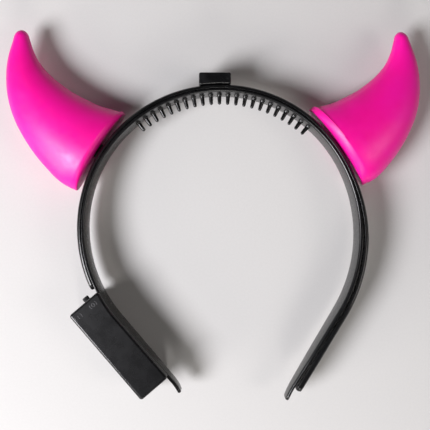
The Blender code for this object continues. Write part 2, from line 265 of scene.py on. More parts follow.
@dataclass(frozen=True)
class MouldedBlackPlastic:
    """Black thermoplastic from a mould. Its grit, drag marks and burnished edges set it apart by piece."""

    name: str
    body_hex: str = "#070708"
    worn_hex: str = "#151517"
    roughness: float = 0.27
    grit_mm: float = 0.3
    grit_depth_mm: float = 0.006
    drag_along_mm: float = 9.0
    drag_across_mm: float = 0.16
    drag_depth_mm: float = 0.006
    bump_strength: float = 0.5
    patch_mm: float = 7.0
    patch_range: tuple[float, float] = (0.3, 0.7)
    patch_change: tuple[float, float] = (-0.02, 0.03)
    rubbed_range: tuple[float, float] = (0.42, 0.66)
    burnish: float = 0.07
    streak_range: tuple[float, float] = (0.55, 0.75)
    streak_change: float = 0.07
    refraction: float = 1.53

    def make(self) -> bpy.types.Material:
        """Build the material: grit from the mould, drag marks along the piece and paler rubbed edges."""
        material, shader = new_material(self.name, {"IOR": self.refraction})
        tree = material.node_tree
        place = add_node(tree, "TexCoord").outputs["Object"]
        finish = add_node(tree, "Attribute", attribute_name="finish").outputs["Vector"]
        edge = add_node(tree, "SeparateXYZ", links={"Vector": finish}).outputs["Z"]
        # Drag marks follow the piece's own length, which the attribute gives in metres along and around
        stretch = (1.0 / (self.drag_along_mm * MM), 1.0 / (self.drag_across_mm * MM), 0.0)
        drawn = add_node(tree, "Mapping", {"Scale": stretch}, {"Vector": finish}).outputs["Vector"]
        drag = add_node(tree, "TexNoise", {"Scale": 1.0, "Detail": 3.0}, {"Vector": drawn}).outputs["Fac"]
        patch = noise(tree, place, self.patch_mm, 4.0, 0.6)
        # Edges are rubbed in patches: the attribute's third value says where an edge is
        rubbed = spread(tree, patch, self.rubbed_range)
        rubbed = add_node(tree, "Math", links={0: rubbed, 1: edge}, operation="MULTIPLY").outputs[0]
        colour = add_node(tree, "Mix", links={"Factor": rubbed}, data_type="RGBA")
        colour.inputs["A"].default_value = linear(self.body_hex)
        colour.inputs["B"].default_value = linear(self.worn_hex)
        tree.links.new(colour.outputs["Result"], shader.inputs["Base Color"])
        ends = tuple(self.roughness + change for change in self.patch_change)
        level = spread(tree, patch, self.patch_range, ends)
        streak = spread(tree, drag, self.streak_range, (0.0, self.streak_change))
        level = add_node(tree, "Math", links={0: level, 1: streak}, operation="ADD").outputs[0]
        level = add_node(
            tree, "Math", {1: -self.burnish}, {0: rubbed, 2: level}, operation="MULTIPLY_ADD"
        ).outputs[0]
        tree.links.new(level, shader.inputs["Roughness"])
        grit = noise(tree, place, self.grit_mm, 2.0)
        add_relief(
            tree,
            shader,
            (grit, self.bump_strength, self.grit_depth_mm),
            (drag, self.bump_strength, self.drag_depth_mm),
        )
        return material


@dataclass(frozen=True)
class CoatedPaper:
    """Pale coated background paper, calendered: flat, even and almost without gloss."""

    name: str = "calendered_pale_paper"
    body_hex: str = "#D8D7D5"
    shade_hex: str = "#D2D1CF"
    fibre_mm: float = 1.1
    fibre_bump: tuple[float, float] = (0.15, 0.03)
    roughness: float = 0.85
    gloss: float = 0.25

    def make(self) -> bpy.types.Material:
        """Build the material: two close paper tones in a fine fibre pattern."""
        even = {"Roughness": self.roughness, "Specular IOR Level": self.gloss}
        material, shader = new_material(self.name, even)
        tree = material.node_tree
        fibre = noise(tree, add_node(tree, "TexCoord").outputs["Object"], self.fibre_mm, 3.0)
        colour = add_node(tree, "Mix", links={"Factor": fibre}, data_type="RGBA")
        colour.inputs["A"].default_value = linear(self.body_hex)
        colour.inputs["B"].default_value = linear(self.shade_hex)
        tree.links.new(colour.outputs["Result"], shader.inputs["Base Color"])
        add_relief(tree, shader, (fibre, *self.fibre_bump))
        return material


# ------------------------------------------------------------------ surfaces


def table(*rows: tuple[float, ...]) -> object:
    """A class's field that holds a table of numbers, given row by row."""
    return field(default_factory=lambda: np.array(rows))


def new_object(name: str, points: np.ndarray, faces: list[list[int]]) -> bpy.types.Object:
    """Make a mesh object at the origin and put it in the scene.

    Args:
        name: of the object and its mesh.
        points: in millimetres, shaped (n, 3).
        faces: the point numbers of each face.

    Returns:
        The object.
    """
    mesh = bpy.data.meshes.new(name)
    mesh.from_pydata(points * MM, [], faces)
    item = bpy.data.objects.new(name, mesh)
    bpy.context.scene.collection.objects.link(item)
    return item


class Skin:
    """Closed shells gathered into one piece: rings of points, and the faces between them.

    Each point carries three values for its finish: metres along the piece, metres around it, and how far
    it lies on an edge that gets rubbed, from 0 to 1.
    """

    def __init__(self) -> None:
        """Start with no points."""
        self.points: list[np.ndarray] = []
        self.finish: list[np.ndarray] = []
        self.faces: list[list[int]] = []
        self.count = 0

    def add(self, rings: np.ndarray, wear: np.ndarray | float = 0.0) -> None:
        """Add one closed shell through rings of equal length, with a flat face over each end ring.

        Faces run from ring i to ring i + 1. They are turned round where the shell's signed volume, a
        sixth of the sum of p0 . (p1 x p2) over its triangles, comes out below zero.

        Args:
            rings: points in millimetres, shaped (rings, points in a ring, 3).
            wear: how far each point lies on a rubbed edge, shaped as the rings or one value.
        """
        count, around = rings.shape[:2]
        index = np.arange(count * around).reshape(count, around)
        ahead = np.roll(index, -1, axis=1)
        quads = np.stack([index[:-1], ahead[:-1], ahead[1:], index[1:]], axis=-1).reshape(-1, 4)
        ends = np.stack([index[0, ::-1], index[-1]])
        flat = rings.reshape(-1, 3)
        fans = [np.stack([np.full(around - 2, e[0]), e[1:-1], e[2:]], axis=1) for e in ends]
        triangles = np.concatenate([quads[:, :3], quads[:, [0, 2, 3]], *fans])
        corner = flat[triangles] - flat.mean(axis=0)
        volume = np.einsum("ij,ij->", corner[:, 0], np.cross(corner[:, 1], corner[:, 2])) / 6.0
        order = slice(None, None, -1 if volume < 0.0 else 1)
        for group in (quads, ends):
            self.faces += (group + self.count)[:, order].tolist()
        steps = np.linalg.norm(np.diff(rings, axis=0, prepend=rings[:1]), axis=2).mean(axis=1)
        arcs = np.linalg.norm(np.diff(rings, axis=1, prepend=rings[:, :1]), axis=2)
        tags = np.zeros((count, around, 3))
        tags[..., 0] = np.cumsum(steps)[:, None] * MM
        tags[..., 1] = np.cumsum(arcs, axis=1) * MM
        tags[..., 2] = wear
        self.points.append(flat)
        self.finish.append(tags.reshape(-1, 3))
        self.count += len(flat)

    def build(
        self, name: str, material: bpy.types.Material, node: str, body: str
    ) -> bpy.types.Object:
        """Turn the shells into one object that stands for a CAD node.

        Args:
            name: the piece's name.
            material: its finish.
            node: the CAD node that it replaces, or an empty name for none.
            body: the CAD body that it rides on.

        Returns:
            The finished object, at the origin.
        """
        piece = new_object(name, np.concatenate(self.points), self.faces)
        tags = piece.data.attributes.new("finish", "FLOAT_VECTOR", "POINT")
        tags.data.foreach_set("vector", np.concatenate(self.finish).ravel())
        piece.data.shade_smooth()
        piece.data.set_sharp_from_angle(angle=math.radians(CREASE_DEG))
        piece.data.materials.append(material)
        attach(piece, body)
        if node:
            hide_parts(node)
        log.info("%s: %d points, %d faces", name, self.count, len(self.faces))
        return piece


def quarter(count: int) -> np.ndarray:
    """Angles from 0 to a quarter turn, in radians."""
    return np.linspace(0.0, math.pi / 2.0, count)


def full_turn(count: int) -> np.ndarray:
    """Even angles round a full turn, in radians."""
    return 2.0 * math.pi * np.arange(count) / count


def dome(distance: np.ndarray, reach: float, least: float) -> np.ndarray:
    """Height of a quarter circle over its foot: sqrt(1 - (1 - d / r)^2), with d / r never under the least."""
    return np.sqrt(1.0 - (1.0 - np.clip(distance / reach, least, 1.0)) ** 2)


def lifted(plan: np.ndarray, heights: np.ndarray) -> np.ndarray:
    """Rings of 3-D points from plan rings, shaped (rings, n, 2), and a height for each ring."""
    return np.concatenate([plan, np.broadcast_to(heights[:, None, None], (*plan.shape[:2], 1))], axis=2)


def rounded_box_section(
    low: np.ndarray, high: np.ndarray, half: np.ndarray, inner: np.ndarray, outer: np.ndarray
) -> np.ndarray:
    """Sections of a flat strip with rounded corners, one for each station.

    Each corner is a quarter circle: (corner centre) + radius (cos a, sin a).

    Args:
        low: offset of each section's inner face.
        high: offset of each section's outer face.
        half: half of each section's width.
        inner: radius of the corners on the inner face.
        outer: radius of the corners on the outer face.

    Returns:
        Offset and height of each point, shaped (stations, points, 2).
    """
    rings = []
    for turn in range(4):
        angle = turn * math.pi / 2.0 + quarter(EDGE_STEPS)
        out_side = turn in (0, 3)
        up_side = turn in (0, 1)
        radius = outer if out_side else inner
        centre_x = (high - radius) if out_side else (low + radius)
        centre_y = (half - radius) if up_side else (radius - half)
        x = centre_x[:, None] + radius[:, None] * np.cos(angle)
        y = centre_y[:, None] + radius[:, None] * np.sin(angle)
        rings.append(np.stack([x, y], axis=-1))
    return np.concatenate(rings, axis=1)


def rounded_outline(corners: np.ndarray, radii: np.ndarray, steps: int = 9) -> np.ndarray:
    """A polygon with some corners rounded, in the order given.

    A corner's arc has its centre on the corner's bisector, radius / sin(half angle) away, and touches
    both sides radius / tan(half angle) from the corner.

    Args:
        corners: the polygon's points, shaped (n, 2).
        radii: a radius for each, where 0 leaves the point as it is.
        steps: points in an arc.

    Returns:
        The rounded polygon's points.
    """
    back = np.roll(corners, 1, axis=0) - corners
    ahead = np.roll(corners, -1, axis=0) - corners
    back /= np.linalg.norm(back, axis=1, keepdims=True)
    ahead /= np.linalg.norm(ahead, axis=1, keepdims=True)
    half = np.arccos(np.clip((back * ahead).sum(axis=1), -1.0, 1.0)) / 2.0
    t = np.linspace(0.0, 1.0, steps)[:, None]
    points = []
    for corner, b, a, angle, radius in zip(corners, back, ahead, half, radii):
        if radius <= 0.0:
            points.append(corner[None])
            continue
        centre = corner + (a + b) / np.linalg.norm(a + b) * radius / math.sin(angle)
        reach = radius / math.tan(angle)
        start = corner + b * reach - centre
        end = corner + a * reach - centre
        total = math.acos(np.clip(start @ end / radius**2, -1.0, 1.0))
        arc = np.sin((1.0 - t) * total) * start + np.sin(t * total) * end
        points.append(centre + arc / math.sin(total))
    return np.concatenate(points)


def outward_normals(outline: np.ndarray) -> np.ndarray:
    """Unit normals of a closed outline, each square to the line through its neighbours.

    Args:
        outline: the points, shaped (n, 2).

    Returns:
        Normals that point out of the outline, shaped (n, 2).
    """
    along = np.roll(outline, -1, axis=0) - np.roll(outline, 1, axis=0)
    normals = np.stack([along[:, 1], -along[:, 0]], axis=1)
    normals /= np.linalg.norm(normals, axis=1, keepdims=True)
    x, y = outline.T
    area = (x * np.roll(y, -1) - np.roll(x, -1) * y).sum()
    return normals if area > 0.0 else -normals


def drawn_in(outline: np.ndarray, inset: np.ndarray) -> np.ndarray:
    """The outline moved inwards along its normals, once for each inset, shaped (insets, n, 2)."""
    return outline[None] - inset[:, None, None] * outward_normals(outline)[None]


def block_profile(
    low: float, high: float, radius: float, grooves: tuple[tuple[float, float, float], ...] = ()
) -> np.ndarray:
    """The side of a standing block: a quarter round, a straight wall with grooves, and a quarter round.

    Over a quarter turn a, the lower round is drawn in by r (1 - sin a) and risen by r (1 - cos a). The
    upper one has the two changed over. A narrow flat ring lies inside each.

    Args:
        low: the lower end's height.
        high: the upper end's height.
        radius: of both rounded edges.
        grooves: height, half width and depth of each V groove.

    Returns:
        Columns of inset and height.
    """
    turn = quarter(EDGE_STEPS)
    drawn, risen = radius * (1.0 - np.sin(turn)), radius * (1.0 - np.cos(turn))
    flat = radius + FLAT_RING
    rows = [np.array([(flat, low)]), np.column_stack([drawn, low + risen])]
    rows += [np.array(GROOVE_SHAPE) * (depth, half) + (0.0, height) for height, half, depth in grooves]
    rows += [np.column_stack([risen, high - drawn]), np.array([(flat, high)])]
    return np.concatenate(rows)


def bead(path: np.ndarray, radius: float, height: float, sides: int = 10) -> np.ndarray:
    """A raised round-backed stroke laid along an open path on a flat face, with its ends drawn in round.

    Round a section at angle a, a point lies radius cos a to the side and height sin a up.

    Args:
        path: points along the stroke's middle, shaped (n, 3).
        radius: half of the stroke's width.
        height: how far it stands up.
        sides: points round it.

    Returns:
        Rings shaped (n + 8, sides, 3).
    """
    along = np.gradient(path[:, :2], axis=0)
    along /= np.linalg.norm(along, axis=1, keepdims=True)
    turn = quarter(5)[:-1]
    # The end rings keep a little width, so that the stroke closes with a small flat face
    closing = np.sin(turn) + 0.05
    reach = np.concatenate([-radius * np.cos(turn), np.zeros(len(path)), radius * np.cos(turn[::-1])])
    share = np.concatenate([closing, np.ones(len(path)), closing[::-1]])
    last = np.full(len(turn), len(path) - 1)
    pick = np.concatenate([np.zeros(len(turn), int), np.arange(len(path)), last])
    middle = path[pick].copy()
    middle[:, :2] += along[pick] * reach[:, None]
    angle = full_turn(sides)
    across = np.stack([-along[pick, 1], along[pick, 0]], axis=1)
    plan = across[:, None, :] * (radius * share[:, None] * np.cos(angle))[..., None]
    rise = height * share[:, None] * np.sin(angle)
    return middle[:, None, :] + np.concatenate([plan, rise[..., None]], axis=2)


# ------------------------------------------------------------------ the band


@dataclass
class BandPath:
    """The inner face of the hair band: arcs and straights from the top of the head down each side."""

    centre: tuple[float, float] = (3.81, -6.61)
    mid_height: float = 13.5
    top_radius: float = 65.75
    # Radius and turn in degrees of each arc, then length and turn of each run after them
    left_turns: tuple[tuple[float, float], ...] = ((65.75, 131.0),)
    left_rest: tuple[tuple[float, float], ...] = ((41.0, 0.0), (7.0, -20.0))
    right_turns: tuple[tuple[float, float], ...] = ((65.75, 60.0), (72.0, 61.0))
    right_rest: tuple[tuple[float, float], ...] = ((41.5, 0.0), (8.6, -10.0))

    def runs(self, side: Side) -> list[tuple[float, float]]:
        """Length and clockwise turn in degrees of each run down one side."""
        left = side is Side.LEFT
        turns = self.left_turns if left else self.right_turns
        rest = self.left_rest if left else self.right_rest
        return [*((radius * math.radians(turn), turn) for radius, turn in turns), *rest]

    def follow(self, distance: np.ndarray, side: Side) -> tuple[np.ndarray, np.ndarray]:
        """Walk down one side, drawn as if it ran to +X.

        Over a run of length l and turn t, a step s bends by b = t s / l, and its chord is
        2 (l / t) sin(b / 2).

        Args:
            distance: how far to walk, at least 0.
            side: which side's runs to follow.

        Returns:
            Points and outward normals, each shaped (n, 2).
        """
        point = np.stack([np.zeros_like(distance), np.full_like(distance, self.top_radius)], axis=1)
        heading = np.zeros_like(distance)
        done = 0.0
        for length, turn_deg in self.runs(side):
            step = np.clip(distance - done, 0.0, length)
            turn = math.radians(turn_deg)
            bend = turn * step / length
            chord = 2.0 * length / turn * np.sin(bend / 2.0) if turn else step
            middle = heading - bend / 2.0
            point += chord[:, None] * np.stack([np.cos(middle), np.sin(middle)], axis=1)
            heading = heading - bend
            done += length
        return point, np.stack([-np.sin(heading), np.cos(heading)], axis=1)

    def rail(self, distance: np.ndarray) -> tuple[np.ndarray, np.ndarray]:
        """Points and outward normals of the inner face at signed distances from the top.

        Args:
            distance: negative down the left side, positive down the right.

        Returns:
            Points and normals in the row's frame, each shaped (n, 2).
        """
        left = [a * (-1.0, 1.0) for a in self.follow(np.maximum(-distance, 0.0), Side.LEFT)]
        right = self.follow(np.maximum(distance, 0.0), Side.RIGHT)
        point, normal = (np.where(distance[:, None] < 0.0, a, b) for a, b in zip(left, right))
        return point + self.centre, normal

    def seat(self, side: Side, angle_deg: float, radius: float) -> np.ndarray:
        """The point at a radius from the band's centre, at an angle above the ears."""
        angle = math.radians(angle_deg)
        plan = np.array([side.value * math.cos(angle), math.sin(angle)]) * radius + self.centre
        return np.append(plan, self.mid_height)


@dataclass
class HairBand:
    """The comb band with its teeth, and the cover strip that hides the wires."""

    path: BandPath
    # Distance, comb band's thickness, seam between the layers, cover strip's thickness
    layers: np.ndarray = table(
        (-200.0, 1.6, 0.3, 1.8),
        (0.0, 1.5, 0.3, 1.8),
        (78.0, 1.5, 0.3, 1.8),
        (108.0, 1.8, 1.0, 2.0),
        (150.0, 1.8, 1.0, 2.3),
        (194.0, 1.6, 1.0, 2.9),
    )
    # Distance, width
    widths: np.ndarray = table(
        (-200.0, 9.0),
        (-195.0, 9.5),
        (-170.0, 13.0),
        (-140.0, 16.0),
        (140.0, 16.0),
        (172.0, 13.0),
        (192.0, 9.5),
        (200.0, 9.0),
    )
    band_ends: tuple[float, float] = (-198.2, 195.5)
    cover_ends: tuple[float, float] = (-132.7, 188.9)
    step: float = 1.2
    # Radius of the edges on a strip's inner face and on its outer face
    band_edges: tuple[float, float] = (0.95, 0.35)
    cover_edges: tuple[float, float] = (0.2, 1.55)
    # A strip's end: how far its outline and its thickness round off, and the share left of each
    plan_round: float = 2.8
    plan_steps: int = 22
    end_share: float = 0.62
    end_round: float = 0.7
    end_thickness: float = 0.15
    # A long edge is rubbed over this much height, and fades out over this much
    wear_band: float = 0.9
    wear_fade: float = 0.6
    teeth_span: tuple[float, float] = (-43.7, 46.6)
    tooth_pitch: float = 4.3
    tooth_length: float = 5.1
    tooth_buried: float = 0.5
    tooth_root: float = 1.1
    tooth_tip: float = 0.8
    tooth_flare: float = 0.4
    tooth_sides: int = 18
    tooth_wear: float = 0.7
    flare_length: float = 1.1

    def stations(self, ends: tuple[float, float]) -> np.ndarray:
        """Distances along a strip, close together where its ends are rounded."""
        middle = np.arange(ends[0] + self.plan_round, ends[1] - self.plan_round, self.step)
        turn = np.linspace(0.02, 1.0, self.plan_steps) * math.pi / 2.0
        outline = self.plan_round * (1.0 - np.sin(turn)[::-1])
        tail = np.unique(np.concatenate([outline, self.end_round * (1.0 - np.cos(quarter(8)))]))
        return np.concatenate([ends[0] + tail, middle[1:], ends[1] - tail[::-1]])

    def strip(
        self,
        ends: tuple[float, float],
        low: np.ndarray,
        high: np.ndarray,
        s: np.ndarray,
        edges: tuple[float, float],
    ) -> np.ndarray:
        """Rings of a strip carried along the band.

        Near an end the half width falls from its full value w to a share k of it: w (k + (1 - k)
        sqrt(1 - (1 - d / r)^2)), with d the distance to the end. The thickness closes the same way.

        Args:
            ends: the strip's first and last distance.
            low: offset of the inner face at each station.
            high: offset of the outer face at each station.
            s: the stations.
            edges: radius of the long edges on the inner face and on the outer face.

        Returns:
            Rings shaped (stations, points, 3).
        """
        to_end = np.minimum(s - ends[0], ends[1] - s)
        plan = dome(to_end, self.plan_round, 0.004)
        close = dome(to_end, self.end_round, 0.01)
        half = self.half_width(s) * (self.end_share + (1.0 - self.end_share) * plan)
        middle = (low + high) / 2.0
        thick = (high - low) * (self.end_thickness + (1.0 - self.end_thickness) * close)
        # Where the strip is thin, both edges shrink, so that together they stay inside its thickness
        share = np.minimum(1.0, 0.98 * thick / sum(edges))
        low_edge, high_edge = middle - thick / 2.0, middle + thick / 2.0
        section = rounded_box_section(low_edge, high_edge, half, edges[0] * share, edges[1] * share)
        point, normal = self.path.rail(s)
        plan_xy = point[:, None] + section[..., :1] * normal[:, None]
        return np.concatenate([plan_xy, self.path.mid_height + section[..., 1:]], axis=2)

    def half_width(self, s: np.ndarray) -> np.ndarray:
        """Half of the strips' width at each distance."""
        return np.interp(s, self.widths[:, 0], self.widths[:, 1]) / 2.0

    def layer(self, s: np.ndarray, column: int) -> np.ndarray:
        """A column of the layers' table at each distance."""
        return np.interp(s, self.layers[:, 0], self.layers[:, column])

    def edge_wear(self, rings: np.ndarray) -> np.ndarray:
        """1 on the rounded long edges and 0 on the flats, by the height over the strip's middle."""
        rise = np.abs(rings[..., 2] - self.path.mid_height)
        start = rise.max(axis=1, keepdims=True) - self.wear_band
        return np.clip((rise - start) / self.wear_fade, 0.0, 1.0)

    def make_band(self, material: bpy.types.Material) -> bpy.types.Object:
        """Build the comb band."""
        s = self.stations(self.band_ends)
        rings = self.strip(self.band_ends, np.zeros_like(s), self.layer(s, 1), s, self.band_edges)
        skin = Skin()
        skin.add(rings, self.edge_wear(rings))
        self.add_teeth(skin)
        return skin.build("comb_band_smooth", material, "comb_band", "headband")

    def make_cover(self, material: bpy.types.Material) -> bpy.types.Object:
        """Build the cover strip."""
        s = self.stations(self.cover_ends)
        low = self.layer(s, 1) + self.layer(s, 2)
        rings = self.strip(self.cover_ends, low, low + self.layer(s, 3), s, self.cover_edges)
        skin = Skin()
        skin.add(rings, self.edge_wear(rings))
        return skin.build("cover_strip_smooth", material, "cover_strip", "headband")

    def add_teeth(self, skin: Skin) -> None:
        """Add the comb's teeth, each a slim cone with a flared root and a round tip.

        At a distance d from the band, a share t of its length, a tooth's radius is root + (tip - root) t
        + flare (1 - d / reach of the flare)^2. Over the last tip radius it closes as a half ball.

        Args:
            skin: the piece that the teeth are moulded on.
        """
        count = round((self.teeth_span[1] - self.teeth_span[0]) / self.tooth_pitch) + 1
        point, normal = self.path.rail(np.linspace(*self.teeth_span, count))
        ball = self.tooth_length - self.tooth_tip
        root_part = self.flare_length * np.linspace(0.0, 1.0, 7)
        shaft = np.linspace(self.flare_length, ball, 6)[1:]
        tip = ball + self.tooth_tip * np.sin(quarter(8)[1:])
        reach = np.concatenate([[-self.tooth_buried], root_part, shaft, tip])
        t = np.clip(reach / self.tooth_length, 0.0, 1.0)
        fade = np.clip(1.0 - np.clip(reach, 0.0, None) / self.flare_length, 0.0, 1.0)
        radius = self.tooth_root + (self.tooth_tip - self.tooth_root) * t + self.tooth_flare * fade**2
        radius = radius * np.sqrt(1.0 - np.clip((reach - ball) / self.tooth_tip, 0.0, 0.99) ** 2)
        angle = full_turn(self.tooth_sides)
        rise = self.path.mid_height + radius[:, None] * np.sin(angle)
        for root, out in zip(point, normal):
            middle = root[None] - out[None] * reach[:, None]
            along = np.array([out[1], -out[0]])
            plan = middle[:, None] + (radius[:, None] * np.cos(angle))[..., None] * along
            skin.add(np.concatenate([plan, rise[..., None]], axis=2), t[:, None] * self.tooth_wear)


@dataclass
class CentreBlock:
    """The small block on the top of the band, with the pip that its mould left near one corner."""

    path: BandPath
    middle: float = -2.85
    width: float = 15.4
    top: float = 75.0
    seat_gap: float = 0.3
    cover_top: float = 3.6
    half_depth: float = 8.0
    rounding: float = 0.7
    corner: float = 0.85
    # The curved seat's points, and how far they keep from the rounded corners
    seat_points: int = 17
    seat_margin: float = 1.4
    # Height from the middle, half width, depth
    groove: tuple[float, float, float] = (-4.6, 0.22, 0.16)
    pip: tuple[float, float] = (3.3, 72.2)
    pip_radius: float = 0.45
    pip_height: float = 0.16
    pip_sunk: float = 0.05
    pip_sides: int = 20
    # Share of a quarter turn at which the pip's dome stops, in a small flat face
    pip_close: float = 0.92

    def make(self, material: bpy.types.Material) -> bpy.types.Object:
        """Build the block on its curved seat, and the pip on the face that looks up."""
        seat = self.path.top_radius + self.cover_top + self.seat_gap
        left, right = np.array([-1.0, 1.0]) * self.width / 2.0
        inside = np.linspace(left + self.seat_margin, right - self.seat_margin, self.seat_points)
        x = self.middle + np.concatenate([[left], inside, [right]])
        under = np.stack([x, np.sqrt(seat**2 - x**2)], axis=1)
        corners = np.concatenate([under, [(x[-1], self.top), (x[0], self.top)]])
        radii = np.zeros(len(corners))
        radii[[0, -3, -2, -1]] = self.corner
        outline = rounded_outline(corners, radii) + self.path.centre
        low = self.path.mid_height - self.half_depth
        high = self.path.mid_height + self.half_depth
        groove = (self.path.mid_height + self.groove[0], *self.groove[1:])
        profile = block_profile(low, high, self.rounding, (groove,))
        inset = profile[:, 0]
        skin = Skin()
        rubbed = np.clip(2.0 * inset / self.rounding, 0.0, 1.0)
        rings = lifted(drawn_in(outline, inset), profile[:, 1])
        skin.add(rings, rubbed[:, None] * np.ones(len(outline)))
        self.add_pip(skin, high)
        return skin.build("centre_block_smooth", material, "centre_block", "headband")

    def add_pip(self, skin: Skin, face: float) -> None:
        """Add the pip: at an angle a of a quarter turn it is radius cos a wide and height sin a high.

        Args:
            skin: the block's piece.
            face: height of the face that the pip stands on.
        """
        turn = quarter(5) * self.pip_close
        across = np.concatenate([[self.pip_radius], self.pip_radius * np.cos(turn)])
        rise = np.concatenate([[-self.pip_sunk], self.pip_height * np.sin(turn)])
        angle = full_turn(self.pip_sides)
        circle = np.stack([np.cos(angle), np.sin(angle)], axis=1)
        plan = np.array(self.pip) + self.path.centre + across[:, None, None] * circle
        skin.add(lifted(plan, face + rise), 1.0)


# ------------------------------------------------------------------ the horns


@dataclass
class Horn:
    """A hollow horn on its post: two skins that meet round the hole in its floor."""

    path: BandPath
    side: Side
    seat_angle: float
    seat_radius: float
    lean: float
    scale_across: float
    scale_along: float
    lip_height: float
    lip_bend_deg: float
    # Outer edge across and along, inner edge across and along, half depth, from base to tip
    sections: np.ndarray = table(
        (-22.0, 0.0, 22.0, 0.0, 13.5),
        (-22.4, 9.3, 20.2, 6.7, 13.4),
        (-20.4, 18.5, 18.5, 13.4, 12.7),
        (-17.5, 27.5, 17.7, 20.2, 11.8),
        (-13.7, 36.1, 17.2, 27.1, 10.7),
        (-9.0, 44.2, 17.5, 34.0, 9.4),
        (-3.1, 51.5, 18.4, 40.9, 8.0),
        (4.0, 57.6, 20.2, 47.5, 6.5),
        (13.2, 62.9, 23.7, 54.1, 5.1),
        (24.3, 66.4, 28.3, 60.0, 3.8),
    )
    sides: int = 120
    wall: float = 1.8
    draw_in: float = 0.16
    # The ridge where the mould halves meet: its half width in radians, and its height as a share
    seam_half_turn: float = 0.009
    seam_share: float = 0.003
    lip_across: float = 0.5
    lip_depth: float = 3.4
    lip_steps: int = 16
    # Where on the lip's height it is rubbed most, and how fast that fades
    lip_wear: float = 0.9
    lip_wear_fade: float = 0.15
    saddle_depth: float = 1.6
    saddle_sections: float = 3.0
    hole_radius: float = 3.9
    cap_length: float = 3.7
    cap_taper: float = 0.12
    # Share of a quarter turn at which the tip stops, in a small flat face
    cap_close: float = 0.985
    cap_steps: int = 15
    floor_steps: int = 9
    # Rings along the side of the outer skin and of the inner one
    outer_rings: int = 92
    inner_rings: int = 40

    def around(self) -> tuple[np.ndarray, np.ndarray]:
        """The points round a section: angles, and how far each is scaled out.

        Where the two mould halves meet, at both ends of the section, three close points carry a fine ridge.

        Returns:
            Angles in radians, and each point's scale from the middle.
        """
        half = np.linspace(0.0, math.pi, self.sides // 2 - 1)[1:-1]
        seam = np.array([-self.seam_half_turn, 0.0, self.seam_half_turn])
        angle = np.concatenate([seam, half, math.pi + seam, math.pi + half])
        ridge = np.zeros(len(angle))
        ridge[[1, len(seam) + len(half) + 1]] = self.seam_share
        return angle, 1.0 + ridge

    def spline(self, position: np.ndarray) -> np.ndarray:
        """Sections between the table's rows: a cubic whose slope at a row is half its neighbours' difference.

        Args:
            position: row numbers, whole or between rows.

        Returns:
            Five values for each position.
        """
        rows = self.sections
        padded = np.concatenate([[2.0 * rows[0] - rows[1]], rows, [2.0 * rows[-1] - rows[-2]]])
        index = np.clip(position.astype(int), 0, len(rows) - 2)
        t = (position - index)[:, None]
        before, start, end, after = (padded[index + k] for k in range(4))
        return (
            (2 * t**3 - 3 * t**2 + 1) * start
            + (t**3 - 2 * t**2 + t) * (end - before) / 2.0
            + (3 * t**2 - 2 * t**3) * end
            + (t**3 - t**2) * (after - start) / 2.0
        )

    def saddle(self, across: np.ndarray, position: np.ndarray | float) -> np.ndarray:
        """How far the base hollows to follow the band: depth (1 - (x / half)^2) (1 - position / 3)^2."""
        fade = np.clip(1.0 - np.asarray(position) / self.saddle_sections, 0.0, None) ** 2
        return self.saddle_depth * np.clip(1.0 - (across / self.sections[0, 2]) ** 2, 0.0, None) * fade

    def rings(self, wall: float, position: np.ndarray, inset: np.ndarray, lift: np.ndarray) -> np.ndarray:
        """Sections of a skin: ellipses between the horn's two edges, drawn in by the wall and by the lip.

        Args:
            wall: how far inside the outer skin.
            position: row numbers in the sections' table.
            inset: share of the lip's draw at each.
            lift: how far each is raised along the horn.

        Returns:
            Rings shaped (n, sides, 3) in the horn's own frame.
        """
        outer_x, outer_y, inner_x, inner_y, half_depth = self.spline(position).T
        middle = np.stack([outer_x + inner_x, outer_y + inner_y], axis=1) / 2.0
        reach = np.stack([inner_x - outer_x, inner_y - outer_y], axis=1) / 2.0
        length = np.linalg.norm(reach, axis=1)
        unit = reach / length[:, None]
        half = length - inset * self.lip_across - wall - self.draw_in / 2.0
        depth = half_depth - inset * self.lip_depth - wall - self.draw_in
        angle, scale = self.around()
        plan = middle[:, None] + (half[:, None] * scale * np.cos(angle))[..., None] * unit[:, None]
        plan[..., 1] += lift[:, None] + self.saddle(plan[..., 0], position[:, None])
        return np.concatenate([plan, (depth[:, None] * np.sin(angle))[..., None]], axis=2)

    def lip_shares(self) -> tuple[np.ndarray, np.ndarray]:
        """The lip's roll from the floor up to its crease.

        Its slope a goes from a right angle at the floor to the crease's bend b, on an arc stretched to fit:
        drawn in by (cos b - cos a) / cos b, and at a height of (1 - sin a) / (1 - sin b).

        Returns:
            Share drawn in and share of the lip's height, floor first.
        """
        bend = math.radians(self.lip_bend_deg)
        slope = np.linspace(math.pi / 2.0, bend, self.lip_steps)
        drawn = (math.cos(bend) - np.cos(slope)) / math.cos(bend)
        return drawn, (1.0 - np.sin(slope)) / (1.0 - math.sin(bend))

    def floor_rings(self, wall: float, shares: np.ndarray) -> np.ndarray:
        """Rings of the floor, from the hole's round rim (share 0) out to the lip (share 1)."""
        lip = self.rings(wall, np.zeros(1), np.ones(1), np.zeros(1))[0]
        angle, _ = self.around()
        rim = self.hole_radius * np.stack([np.cos(angle), 0.0 * angle, np.sin(angle)], axis=1)
        rings = rim + (lip - rim) * shares[:, None, None]
        rings[..., 1] = wall + self.saddle(rings[..., 0], 0.0)
        return rings

